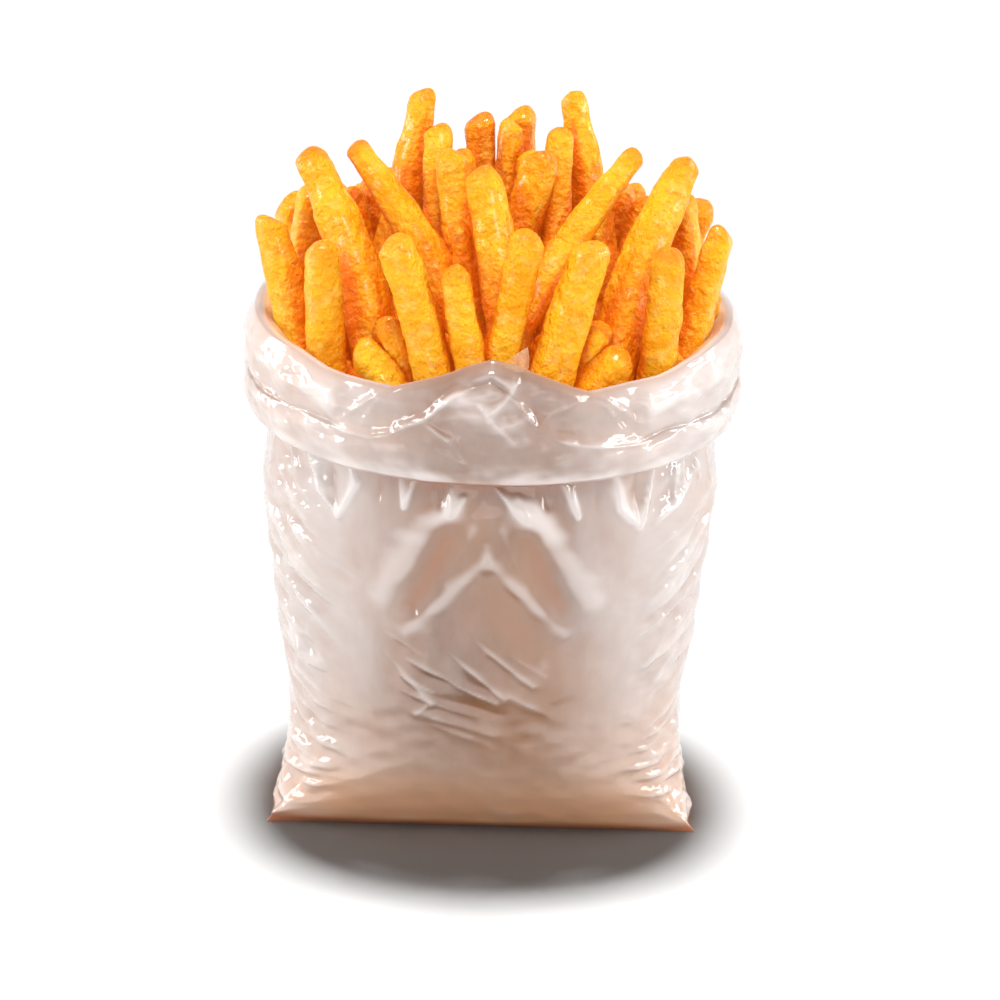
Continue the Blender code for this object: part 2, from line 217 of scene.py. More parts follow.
# Creases on the front of the cuff's face, by x and height
CUFF_CREASES = (
    (6.5, 133.5, 4.5, 128.4, 0.6, 0.6),
    (4.5, 128.4, 0.4, 123.7, 0.7, 0.5),
    (-2.7, 126.0, 0.0, 121.9, 0.6, 0.5),
    (0.0, 121.9, 5.1, 116.7, 0.7, 0.5),
    (-14.0, 120.0, -9.5, 116.7, 0.5, 0.5),
    (-9.5, 116.7, -5.4, 111.3, 0.6, 0.5),
    (-11.5, 114.0, -6.0, 111.0, 0.5, 0.4),
    (-8.0, 121.0, -6.5, 115.0, 0.5, 0.35),
    (-24.0, 128.0, -34.0, 118.0, 0.9, 0.6),
    (-24.0, 128.0, -29.0, 118.5, 0.8, 0.5),
    (24.0, 128.0, 34.5, 118.5, 0.9, 0.7),
    (24.0, 128.0, 30.0, 118.0, 0.8, 0.5),
    (20.0, 126.0, 12.0, 121.5, 0.9, 0.5),
)


def between(low, high, share):
    return low + (high - low) * share


def bell(value, middle, width):
    return np.exp(-(((value - middle) / width) ** 2))


def smooth_step(value, low, high):
    share = np.clip((value - low) / (high - low), 0, 1)
    return share * share * (3 - 2 * share)


def srgb(red, green, blue):
    """A linear colour from the 0 to 255 values that a screen shows."""
    return tuple(((c / 255 + 0.055) / 1.055) ** 2.4 for c in (red, green, blue)) + (1.0,)


def waves(count, wavelength, seed, stretch=(1, 1, 1)):
    """Random wave directions and phases for a soft noise of about that wavelength."""
    draw = np.random.default_rng(seed)
    way = draw.normal(size=(count, 3))
    way /= np.linalg.norm(way, axis=1)[:, None]
    way *= math.tau / wavelength * draw.uniform(0.6, 1.4, size=(count, 1))
    return way / np.array(stretch), draw.uniform(0, math.tau, size=count)


def soft_noise(points, count, wavelength, seed, stretch=(1, 1, 1)):
    """A smooth random value, mostly within 1 of 0, at each of an array of points."""
    way, phase = waves(count, wavelength, seed, stretch)
    total = np.zeros(points.shape[:-1])
    for direction, start in zip(way, phase):
        total += np.sin(points @ direction + start)
    return total * math.sqrt(2 / count) * 0.6


def facets(across, height, count, wavelength, seed):
    """Flat facets with sharp creases between them, as stiff film has, from about -1 to 1."""
    draw = random.Random(seed)
    total = np.zeros(np.broadcast(across, height).shape)
    for _ in range(count):
        way = draw.uniform(0, math.pi)
        step = wavelength * draw.uniform(0.7, 1.5)
        place = (across * math.cos(way) + height * math.sin(way)) / step + draw.random()
        total += 4 * np.abs(place - np.floor(place) - 0.5) - 1
    return total / math.sqrt(count)


def outline(height):
    """Half width, half depth and squareness of the bag, smooth through its outline's rows."""
    height = np.asarray(height, float)
    rows = BAG_OUTLINE[:, 0]
    lower = np.clip(np.searchsorted(rows, height) - 1, 0, len(rows) - 2)
    span = rows[lower + 1] - rows[lower]
    u = np.clip((height - rows[lower]) / span, 0, 1)
    result = []
    for column in (1, 2, 3):
        values = BAG_OUTLINE[:, column]
        slopes = np.gradient(values, rows)
        start = (1 + 2 * u) * (1 - u) ** 2 * values[lower] + u * (1 - u) ** 2 * span * slopes[lower]
        end = u**2 * (3 - 2 * u) * values[lower + 1] - u**2 * (1 - u) * span * slopes[lower + 1]
        result.append(start + end)
    return result


def around(turn, height, outward):
    """x and y on the bag's outline, moved outwards by a distance."""
    half_width, half_depth, squareness = outline(height)
    x = np.sin(turn)
    y = -np.cos(turn)
    squareness = np.where(y > 0, np.minimum(squareness, BACK_SQUARENESS), squareness)
    reach = (np.abs(x) ** squareness + np.abs(y) ** squareness) ** (-1 / squareness)
    return x * reach * (half_width + outward), y * reach * (half_depth + outward)


# Arcs are measured along the outline at this height
GIRTH_HEIGHT = 60.0
GIRTH_TURNS = np.linspace(-math.pi, math.pi, 4001)

# The arcs between which the mesh goes from the front's fine steps to the back's wide ones
FINE_ARC = 95
WIDE_ARC = 125


def girth_arcs():
    """How far round the bag each of the girth's turns lies, from the middle of the front."""
    x, y = around(GIRTH_TURNS, GIRTH_HEIGHT, 0.0)
    arc = np.concatenate([[0], np.cumsum(np.hypot(np.diff(x), np.diff(y)))])
    return arc - arc[len(arc) // 2]


GIRTH_ARCS = girth_arcs()


def arc_at(turn):
    return np.interp(turn, GIRTH_TURNS, GIRTH_ARCS)


def turns_round(front_step, back_step):
    """Turns round the bag, close together at the front and sides and wider at the back."""
    step = between(front_step, back_step, smooth_step(np.abs(GIRTH_ARCS), FINE_ARC, WIDE_ARC))
    ahead = np.concatenate([[0], np.cumsum(np.diff(GIRTH_ARCS) / step[1:])])
    count = int(round(ahead[-1]))
    return np.interp(np.arange(count) / count * ahead[-1], ahead, GIRTH_TURNS)


def crease(x, height, ends, fade=0.35, sharpness=1.2):
    """A ridge between two points of the surface, fading towards both ends. A sharpness of 1
    makes a crisp fold, as taut film has, and 2 a rounded one."""
    x1, z1, x2, z2, width, rise = ends
    run_x = x2 - x1
    run_z = z2 - z1
    along = ((x - x1) * run_x + (height - z1) * run_z) / (run_x**2 + run_z**2)
    held = np.clip(along, 0, 1)
    miss = np.hypot(x - x1 - run_x * held, height - z1 - run_z * held)
    strength = 1 - fade * (2 * held - 1) ** 2
    return rise * strength * np.exp(-((miss / width) ** sharpness))


# Columns of short wrinkles on the sides: the side of the bag, -1 for left, 1 for right and 0
# for both alike, then the random seed, the first and last arc, and the spacing
WRINKLE_COLUMNS = (
    (-1, 21, 44, 56, 3.2),
    (1, 25, 45, 57, 3.4),
    (0, 22, 56, 70, 3.0),
    (0, 26, 68, 86, 3.0),
    (1, 23, 95, 135, 2.4),
    (-1, 24, 95, 135, 2.4),
)
WRINKLES_START = 2.6
WRINKLES_END = 97
LOW_WRINKLES_END = 27

# How steeply the wrinkles rise as they run outwards, by height
SLOPE_HEIGHTS = (0, 17, 31, 45, 70)
SLOPES = (-0.06, 0.02, 0.28, 0.38, 0.5)


def side_wrinkles(seed, first, last, spacing):
    """Short ridges on the sides of the bag, one above another, which rise as they run outwards
    on its upper part: for each its arc from the middle of the front, height, half length,
    width, slope, curve and rise."""
    draw = random.Random(seed)
    wrinkles = []
    height = WRINKLES_START
    while height < WRINKLES_END:
        slope = np.interp(height, SLOPE_HEIGHTS, SLOPES) + draw.uniform(-0.08, 0.08)
        low = height < LOW_WRINKLES_END
        half = draw.uniform(5, 9) if low else draw.uniform(5, 11)
        width = draw.uniform(0.9, 1.4) if low else draw.uniform(0.9, 1.8)
        rise = draw.uniform(1.1, 1.8) if low else draw.uniform(0.4, 1.3)
        arc = draw.uniform(first, last)
        wrinkles.append((arc, height, half, width, slope, draw.uniform(-0.014, 0.014), rise))
        height += spacing * draw.uniform(0.6, 1.2)
    return wrinkles


WRINKLE_SHARPNESS = 1.15


def wrinkle_relief(arc, height, wrinkles):
    """The relief of a column of wrinkles, each fading towards its ends."""
    relief = np.zeros(np.broadcast(arc, height).shape)
    for middle, level, half, width, slope, curve, rise in wrinkles:
        beyond = arc - middle
        miss = height - level - slope * beyond - curve * beyond**2
        lens = np.exp(-((beyond / half) ** 2))
        relief += rise * lens * np.exp(-(np.abs(miss / width) ** WRINKLE_SHARPNESS))
    return relief


# The gathers beyond those of the front: their first and last arc, and the heights that they
# start from and that their lengths are measured down from
GATHERS_START = 66.0
GATHERS_END = 160
GATHER_TOP = 103.0
GATHER_HEM = 101.0


def gather_relief(arc, height, seed):
    """Gathers under the cuff all round the sides and the back, in slanting pairs."""
    draw = random.Random(seed)
    relief = np.zeros(np.broadcast(arc, height).shape)
    place = GATHERS_START
    while place < GATHERS_END:
        length = draw.uniform(6, 13)
        slant = draw.uniform(-3.5, 3.5)
        for start in (place, place + draw.uniform(2.5, 4.5)):
            width = draw.uniform(0.6, 1.0)
            rise = draw.uniform(0.5, 0.9)
            ends = (start, GATHER_TOP, place + slant, GATHER_HEM - length, width, rise)
            relief += crease(arc, height, ends)
        place += draw.uniform(6.5, 10)
    return relief


# The sides are pressed flatter round this arc
FLAT_SIDE_ARC = 78
FLAT_SIDE_WIDTH = 14
FLAT_SIDE_SHARE = 0.72


def front_share(y):
    """0 behind the front of the bag and 1 on it, with a soft rise between."""
    return smooth_step(-y, 4, 14)


def body_relief(turn, height):
    """How far the bag's creases and wrinkles stand out of its plain outline."""
    x, y = around(turn, height, 0)
    arc = arc_at(turn) + np.zeros_like(height)
    aside = np.abs(arc)
    front = front_share(y)
    relief = np.zeros_like(x)
    for ends in FRONT_FOLDS:
        relief += front * crease(np.abs(x), height, ends, fade=0.15, sharpness=1.7)
    for ends in LOW_CREASES:
        relief += front * crease(x, height, ends)
    for ends in FRONT_GATHERS:
        relief += front * crease(arc, height, ends)
    relief += gather_relief(aside, height, seed=5)
    arcs = {-1: -arc, 0: aside, 1: arc}
    for part, seed, first, last, spacing in WRINKLE_COLUMNS:
        wrinkles = side_wrinkles(seed, first, last, spacing)
        relief += wrinkle_relief(arcs[part], height, wrinkles)
    points = np.stack([x, y, height + np.zeros_like(x)], axis=-1)
    relief += 0.28 * soft_noise(points, count=14, wavelength=26, seed=3)
    relief += 0.07 * soft_noise(points, count=20, wavelength=9, seed=4, stretch=(1, 1, 0.6))
    side = smooth_step(aside, 30, 48)
    across = arc * 0.6 - height * 0.3
    relief += between(0.05, 0.26, side) * facets(across, height, count=5, wavelength=6, seed=6)
    fine = facets(across, height, count=5, wavelength=2.6, seed=7)
    relief += between(0.015, 0.08, side) * fine
    flatter = 1 - FLAT_SIDE_SHARE * bell(aside, FLAT_SIDE_ARC, FLAT_SIDE_WIDTH)
    relief *= smooth_step(height, 0.2, 3.0) * flatter
    return relief


SHOULDER_DEPTH = 2.6


def shoulder(height):
    """How far the bag draws in under its cuff."""
    return SHOULDER_DEPTH * smooth_step(height, 86, 106)


def blurred(field, rows, columns):
    """A field of values, smoothed over about that many rows and columns."""
    up = np.fft.fftfreq(field.shape[0])[:, None] * rows
    across = np.fft.fftfreq(field.shape[1])[None, :] * columns
    spectrum = np.fft.fft2(field) * np.exp(-2 * math.pi**2 * (up**2 + across**2))
    return np.fft.ifft2(spectrum).real


def set_values(mesh, key, values):
    """Gives each of a mesh's points a value that its material can read."""
    layer = mesh.attributes.new(key, "FLOAT", "POINT")
    layer.data.foreach_set("value", np.ravel(values))


def cuff_bottom(turn):
    """The cuff hangs lower at the front and the back than at the sides."""
    return between(CUFF_FRONT, CUFF_SIDES, np.sin(turn) ** 2)


# The rim's line on both sides of the middle: the arc, and how far the rim rises there
RIM_LINE = np.array((
    (0.0, 2.9),
    (5.0, 1.6),
    (10.0, -0.7),
    (16.0, -3.0),
    (22.0, -5.1),
    (31.0, -4.2),
    (40.0, -3.6),
    (49.0, -1.8),
    (63.0, -0.8),
    (90.0, 0.0),
    (170.0, 0.0),
))


def rim_top(turn):
    """The rim has a sharp notch at two places of the front and rises between them."""
    arc = arc_at(turn)
    rise = np.interp(np.abs(arc), RIM_LINE[:, 0], RIM_LINE[:, 1])
    return RIM_HEIGHT + rise + 0.3 * np.sin(5 * turn + 1.0) + 0.2 * np.sin(13 * turn)


def draw_to_ears(turn, height, x, y):
    """Draws the front corners of the base out a little."""
    near = bell(np.abs(turn), EAR_TURN, EAR_SPREAD)
    pull = near * np.clip(1 - height / EAR_HEIGHT, 0, 1) ** 2
    return (
        between(x, np.sign(turn) * EAR_TIP[0], pull),
        between(y, EAR_TIP[1], pull),
    )


def ring_faces(index):
    """The faces between rings of points, given as an array of the points' numbers."""
    beside = np.roll(index, -1, axis=1)
    corners = (index[:-1], beside[:-1], beside[1:], index[1:])
    return np.stack(corners, axis=-1).reshape(-1, 4).tolist()


def cap_faces(index):
    """The caps on the first and the last ring."""
    return [index[0, ::-1].tolist(), index[-1].tolist()]


def smooth_mesh(name, points, faces):
    mesh = bpy.data.meshes.new(name)
    mesh.from_pydata((points * MM).tolist(), [], faces)
    mesh.shade_smooth()
    return mesh


def loft(name, rows, closed=False):
    """A mesh from a stack of rings, given as an array of rows, columns and coordinates. A
    closed one joins its last ring to its first, and another has a cap on each."""
    height, width = rows.shape[:2]
    index = np.arange(height * width).reshape(height, width)
    if closed:
        faces = ring_faces(np.vstack([index, index[:1]]))
    else:
        faces = ring_faces(index) + cap_faces(index)
    return smooth_mesh(name, rows.reshape(-1, 3), faces)


def add_piece(mesh, finish, node=None):
    """Puts a mesh in the scene as a piece of the object, with its finish."""
    piece = bpy.data.objects.new(mesh.name, mesh)
    bpy.context.scene.collection.objects.link(piece)
    mesh.materials.append(finish)
    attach(piece, "root")
    if node:
        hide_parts(node)
    return piece


def stack(turn, levels, outward):
    """One ring of the bag for each level, as rows for a loft."""
    x, y = around(turn, levels, outward)
    return np.stack([x, y, levels + np.zeros_like(x)], axis=-1)


# The body's outer rings: their levels for a body of this height, close together at the hem
SKIN_HEIGHT = 108
HEM_LEVELS = (0, 0.12, 0.3, 0.6, 1.0, 1.5)
FIRST_EVEN_LEVEL = 2.1
EVEN_RINGS = 164

# The body's inner rings, and the rings that its base is closed with outside and inside, as
# shares of its height and of its outline
INNER_SHARES = (1.0, 0.9, 0.7, 0.5, 0.3, 0.12)
BASE_SHARES = (0.02, 0.4, 0.75, 0.93)
BASE_LIFTS = (0.5, 0.5, 0.4, 0.2)
INNER_FLOOR = 1.6
INNER_FLOOR_SHARES = (1, 0.5, 0.02)

# How far the body reaches up behind the cuff
BEHIND_CUFF = 7.0


def build_body():
    """The bag below the cuff, with an inner side so that it is a closed form."""
    turn = turns_round(0.5, 1.1)
    top = cuff_bottom(turn) + BEHIND_CUFF
    even = np.linspace(FIRST_EVEN_LEVEL, SKIN_HEIGHT, EVEN_RINGS)
    shares = np.concatenate([HEM_LEVELS, even]) / SKIN_HEIGHT
    levels = shares[:, None] * top[None, :]
    relief = body_relief(turn[None, :], levels)
    # How far each point lies below the relief around it: the film's material paints shade into
    # these hollows and a highlight onto the ridges.
    hollow = blurred(relief, rows=13, columns=15) - relief
    plain = stack(turn, levels, -shoulder(levels))
    skin = stack(turn, levels, relief - shoulder(levels)) - plain
    x, y = draw_to_ears(turn[None, :], levels, plain[..., 0], plain[..., 1])
    plain[..., 0] = x
    plain[..., 1] = y
    skin += plain
    under = [skin[0] * np.array((share, share, 1)) for share in BASE_SHARES]
    for ring, lift in zip(under, BASE_LIFTS):
        ring[:, 2] = lift
    inner_levels = np.array(INNER_SHARES)[:, None] * top[None, :]
    inner = stack(turn, inner_levels, -HIDDEN_WALL)
    floor = stack(turn, np.full((1, turn.size), INNER_FLOOR), -HIDDEN_WALL - 1.0)
    floor = [floor * np.array((share, share, 1)) for share in INNER_FLOOR_SHARES]
    rows = np.concatenate([np.array(under), skin, inner, *floor])
    values = np.zeros(rows.shape[:2])
    values[len(under) : len(under) + len(skin)] = hollow
    mesh = loft("film_body", rows)
    set_values(mesh, "hollow", values)
    return add_piece(mesh, film_material("film_body"), "bag")


# The line between the cuff's two tiers: the arc from the middle of the front, and the height
CUFF_TIER = np.array((
    (-170.0, 117.5),
    (-80.0, 118.0),
    (-57.0, 117.0),
    (-43.0, 117.6),
    (-33.0, 116.3),
    (-26.0, 115.5),
    (-21.0, 117.0),
    (-18.0, 119.5),
    (-14.0, 121.3),
    (-8.0, 127.5),
    (-4.7, 129.8),
    (0.0, 131.5),
    (5.3, 127.1),
    (9.6, 120.3),
    (14.0, 117.4),
    (19.0, 115.7),
    (26.4, 114.6),
    (33.0, 114.3),
    (42.0, 115.9),
    (58.0, 115.5),
    (80.0, 117.5),
    (170.0, 117.5),
))
CUFF_REACH = 3.3
RIM_ROUNDING = 7.0


def cuff_face(turn, height):
    """How far out of the bag's outline the cuff's outer face stands. It is rolled in two
    tiers, and the line between them sweeps up to the middle of the front on both sides."""
    arc = arc_at(turn)
    aside = np.abs(arc)
    low = cuff_bottom(turn)
    top = rim_top(turn)
    tier = np.interp(arc, CUFF_TIER[:, 0], CUFF_TIER[:, 1])
    lower = np.clip((height - low) / (tier - low), 0, 1)
    upper = np.clip((height - tier) / np.maximum(top - tier, 1), 0, 1)
    swag = smooth_step(aside, 1, 9) * (1 - smooth_step(aside, 32, 36))
    out = CUFF_REACH + 1.1 * np.sin(math.pi * lower**1.5) ** 0.8
    out = out + between(1.0, -0.9, swag) * np.sin(math.pi * upper) ** 0.9
    out += between(-0.5, 0.45, swag) * bell(height, tier + 0.3 * swag, 1.1)
    out += 0.4 * np.exp(-np.abs((height - tier + 0.5) / 0.6))
    x, y = around(turn, height, 0)
    front = front_share(y)
    for ends in CUFF_CREASES:
        out += front * crease(x, height, ends)
    side = smooth_step(aside, 28, 42)
    up = height - 0.12 * aside
    out += between(0.16, 0.3, side) * facets(arc * 0.45, up, count=5, wavelength=5, seed=8)
    out += between(0.05, 0.09, side) * facets(arc * 0.5, up, count=5, wavelength=2.4, seed=12)
    points = np.stack([x, y, height + np.zeros_like(x)], axis=-1)
    out += 0.25 * soft_noise(points, count=16, wavelength=18, seed=10)
    out += 0.05 * soft_noise(points, count=24, wavelength=4.5, seed=11)
    near_rim = np.clip(1 - (top - height) / RIM_ROUNDING, 0, 1)
    edge = between(0.7, 1.5, smooth_step(aside, 30, 60))
    return between(out, edge, near_rim**2.2)


# The roll at the cuff's lower edge: how far above the edge each ring lies, and how far out
CUFF_ROLL = ((4.0, -0.3), (2.6, -0.1), (1.4, 0.3), (0.6, 0.8), (0.1, 1.5), (-0.2, 2.3))
CUFF_FACE_RINGS = 96

# The rings that turn over the rim, given alike from the rim, and those down its inner side
RIM_ROLL = ((0.15, 0.2), (0.15, -0.3), (-0.1, -0.75))
INNER_RINGS = 18
INNER_END = 112.0


def build_cuff():
    """The mouth of the bag, rolled down outwards into a cuff, as a closed form."""
    turn = turns_round(0.52, 1.1)
    low = cuff_bottom(turn)
    top = rim_top(turn)
    levels = []
    outward = []

    def add_row(level, out):
        levels.append(level + np.zeros_like(turn))
        outward.append(out + np.zeros_like(turn))

    for rise, out in CUFF_ROLL:
        add_row(low + rise, out)
    face_start = low + 0.9
    face_end = top - 0.05
    edge = cuff_face(turn, face_start)
    for rise, share in ((0.0, 0.55), (0.4, 0.85)):
        add_row(low + rise, between(CUFF_ROLL[-1][1], edge, share))
    first = len(levels)
    for share in np.linspace(0, 1, CUFF_FACE_RINGS) ** 0.92:
        level = between(face_start, face_end, share)
        add_row(level, cuff_face(turn, level))
    last = len(levels)
    for rise, out in RIM_ROLL:
        add_row(top + rise, out)
    inner_start = len(levels)
    lean = smooth_step(np.abs(arc_at(turn)), 30, 60)
    for share in np.linspace(0, 1, INNER_RINGS)[1:]:
        level = between(top - 0.1, INNER_END, share)
        inward = between(0.3, 4.2, lean) * math.sin(math.pi * share**0.7)
        add_row(level, between(-0.8, -FILM_WALL, share) - inward)
    add_row(low + 6.5, -FILM_WALL)
    add_row(low + 4.3, -FILM_WALL)
    levels = np.array(levels)
    outward = np.array(outward)
    rows = stack(turn[None, :], levels, outward)
    values = np.zeros(rows.shape[:2])
    # How far each point of the face lies below the relief around it, which the film's material
    # turns into painted shade and painted highlight.
    face = outward[first:last]
    values[first:last] = blurred(face, rows=9, columns=13) - face
    mesh = loft("film_cuff", rows, closed=True)
    set_values(mesh, "hollow", values)
    inside = np.zeros(rows.shape[:2])
    inside[inner_start:] = 1
    set_values(mesh, "inside", inside)
    return add_piece(mesh, film_material("film_cuff"), "bag")


# The loose corner of film: its tip, and the two edges that run down from it behind the rim
FLAP_TIP = (8.3, -56.6, 139.9)
FLAP_LEFT = ((6.2, -56.4, 138.3), (3.4, -56.0, 136.4), (0.2, -55.2, 134.2))
FLAP_RIGHT = ((8.9, -56.6, 137.0), (8.8, -56.3, 134.4), (7.6, -55.2, 130.8))


FLAP_ROWS = 26
FLAP_COLUMNS = 16
FLAP_THICKNESS = 0.12


def build_flap():
    """The loose corner of the film that stands up at the middle of the front."""
    places = np.linspace(0, 1, FLAP_ROWS)
    knots = np.linspace(0, 1, 1 + len(FLAP_LEFT))
    edges = []
    for points in (FLAP_LEFT, FLAP_RIGHT):
        line = np.array((FLAP_TIP,) + points)
        edges.append(np.stack([np.interp(places, knots, line[:, i]) for i in range(3)], axis=-1))
    share = np.linspace(0.02, 0.98, FLAP_COLUMNS)[None, :, None]
    sheet = between(edges[0][:, None], edges[1][:, None], share)
    sheet[..., 1] -= 0.7 * np.sin(math.pi * share[..., 0]) * places[:, None]
    sheet[..., 1] += 0.3 * soft_noise(sheet, count=8, wavelength=5.0, seed=14)
    behind = sheet + np.array((0, FLAP_THICKNESS, 0))
    loop = np.concatenate([sheet, behind[:, ::-1]], axis=1)
    return add_piece(loft("film_flap", loop), flap_material("film_flap"))


class Fry:
    """One fry: its tip, its foot inside the heap, its thickness and its bow. How far it
    yields says how much it moves when fries are pushed apart."""

    def __init__(self, tip, mouth, thickness, tip_share, bow, yields=1.0):
        self.tip = Vector(tip)
        self.yields = yields
        self.thickness = thickness
        self.tip_share = tip_share
        crossing = Vector((*mouth, RIM_HEIGHT))
        rise = self.tip.z - RIM_HEIGHT
        run = self.tip - crossing
        if run.to_2d().length > LYING_SLOPE * rise:
            self.foot = crossing - Vector((0, 0, LYING_DEPTH))
        else:
            self.foot = crossing - run / rise * (RIM_HEIGHT - FRY_FOOT)
        self.bend = Vector((math.copysign(bow, self.foot.x - self.tip.x), 0, 0.3 * bow))

    def at(self, share):
        """A point of the fry's middle line, from its foot to its tip."""
        return self.foot.lerp(self.tip, share) + self.bend * 4 * share * (1 - share)

    def reach_at(self, share):
        """How far the fry's corners stand out there: it narrows over its upper half."""
        taper = max(0.0, 2 * share - 1) ** 1.5
        return CORNER_REACH * self.thickness * between(1.0, self.tip_share, taper)

    def rim_share(self):
        """How far along the fry, from its foot, it passes the rim's height."""
        rise = self.tip.z - self.foot.z
        return min(1.0, max(0.0, (RIM_HEIGHT - self.foot.z) / rise))

    def keep_inside(self):
        """Moves the foot until the fry clears the film up to the rim."""
        upright = (self.tip - self.foot).normalized().z
        reach = CORNER_REACH * self.thickness / max(LEAST_UPRIGHT, upright)
        self.foot = into_mouth(self.foot, reach)
        share = self.rim_share()
        if share > 0.8:
            self.tip = into_mouth(self.tip, reach)
            return
        crossing = self.at(share)
        shift = into_mouth(crossing, reach) - crossing
        self.foot += shift / (1 - share)


def mouth_at(height):
    """Half width, half depth and squareness of the bag at one height, straight between rows."""
    rows = BAG_OUTLINE[:, 0]
    return [float(np.interp(height, rows, BAG_OUTLINE[:, i])) for i in (1, 2, 3)]


def into_mouth(point, radius):
    """Draws a point inwards until a fry of that radius clears the film."""
    half_width, half_depth, squareness = mouth_at(min(point.z, RIM_HEIGHT))
    room = FILM_WALL + CORE_GAP + radius
    across = abs(point.x) / (half_width - room)
    deep = abs(point.y) / (half_depth - room)
    reach = max(1.0, (across**squareness + deep**squareness) ** (1 / squareness))
    return Vector((point.x / reach, point.y / reach, point.z))


def hand_placed_fries():
    """The fries of both tables, each pair one after the other."""
    fries = []
    for x, y, z, mouth_x, mouth_y, *form in PAIRED_FRIES:
        fries.append(Fry((x, y, z), (mouth_x, mouth_y), *form, PLACED_YIELDS))
        fries.append(Fry((-x, y, z), (-mouth_x, mouth_y), *form, PLACED_YIELDS))
    for x, y, z, mouth_x, mouth_y, *form in SINGLE_FRIES:
        fries.append(Fry((x, y, z), (mouth_x, mouth_y), *form, PLACED_YIELDS))
    return fries


def fill_mouth(fries, draw):
    """Adds a fry at each seed of the spiral that is clear of those already standing."""
    half_width, half_depth, _ = mouth_at(RIM_HEIGHT)
    standing = [fry.at(fry.rim_share()).to_2d() for fry in fries]
    for seed in range(SPIRAL_SEEDS):
        reach = SPIRAL_REACH * math.sqrt((seed + 0.5) / SPIRAL_SEEDS)
        outward = Vector((math.cos(seed * SPIRAL_TURN), math.sin(seed * SPIRAL_TURN)))
        place = Vector((outward.x * half_width, outward.y * half_depth)) * reach
        if any((place - other).length < FILL_SPACING for other in standing):
            continue
        standing.append(place)
        back = min(1.0, max(0.0, (place.y - RISE_STARTS) / (RISE_ENDS - RISE_STARTS)))
        top = between(FILL_FRONT_TOP, FILL_BACK_TOP - FILL_EDGE_DROP * reach, back)
        top += draw.uniform(-FILL_UNEVEN, FILL_UNEVEN)
        lean = outward * between(LEAN_MIDDLE, LEAN_EDGE, reach)
        lean += outward.orthogonal() * draw.uniform(-LEAN_ASIDE, LEAN_ASIDE)
        tip = place + lean * (top - RIM_HEIGHT)
        thickness = FILL_THICKNESS + draw.uniform(-1, 1)
        form = (thickness, draw.uniform(0.7, 0.95), draw.uniform(0, 1.5))
        fries.append(Fry((*tip, top), place, *form))


def closest_shares(a, b):
    """How far along each of two straight fries their closest points lie."""
    run_a = a.tip - a.foot
    run_b = b.tip - b.foot
    offset = a.foot - b.foot
    aa = run_a.dot(run_a)
    bb = run_b.dot(run_b)
    ab = run_a.dot(run_b)
    ao = run_a.dot(offset)
    bo = run_b.dot(offset)
    spread = aa * bb - ab * ab
    share_a = (ab * bo - bb * ao) / spread if spread > 1e-6 else 0.5
    share_a = min(1.0, max(0.0, share_a))
    share_b = min(1.0, max(0.0, (ab * share_a + bo) / bb))
    share_a = min(1.0, max(0.0, (ab * share_b - ao) / aa))
    return share_a, share_b


# The share of an overlap that each push takes away, and how much less the tips move
PUSH_SHARE = 0.25
TIP_SHARE = 0.25


def push_apart(fries):
    """Moves fries that run through each other apart, mostly at their hidden feet."""
    for _ in range(SPREAD_ROUNDS):
        for i, a in enumerate(fries):
            for b in fries[i + 1 :]:
                share_a, share_b = closest_shares(a, b)
                gap = a.foot.lerp(a.tip, share_a) - b.foot.lerp(b.tip, share_b)
                gap.z *= 0.3
                wanted = 0.5 * (a.thickness + b.thickness)
                if gap.length >= wanted:
                    continue
                way = gap.normalized() if gap.length > 1e-3 else Vector((0, 1, 0))
                push = way * (wanted - gap.length) * PUSH_SHARE
                a.foot += push * (1 - share_a * 0.5) * a.yields
                b.foot -= push * (1 - share_b * 0.5) * b.yields
                a.tip += push * share_a * TIP_SHARE * a.yields
                b.tip -= push * share_b * TIP_SHARE * b.yields
        for fry in fries:
            fry.keep_inside()


# A fry's mesh, with some of its rings on the rounded end, and how square its section is
FRY_SIDES = 30
FRY_RINGS = 43
SHORT_FRY_SIDES = 18
SHORT_FRY_RINGS = 24
END_RINGS = 8
FRY_SQUARE = 3.4
END_SQUARE = 2.1
FRY_PLUMPNESS = 0.92


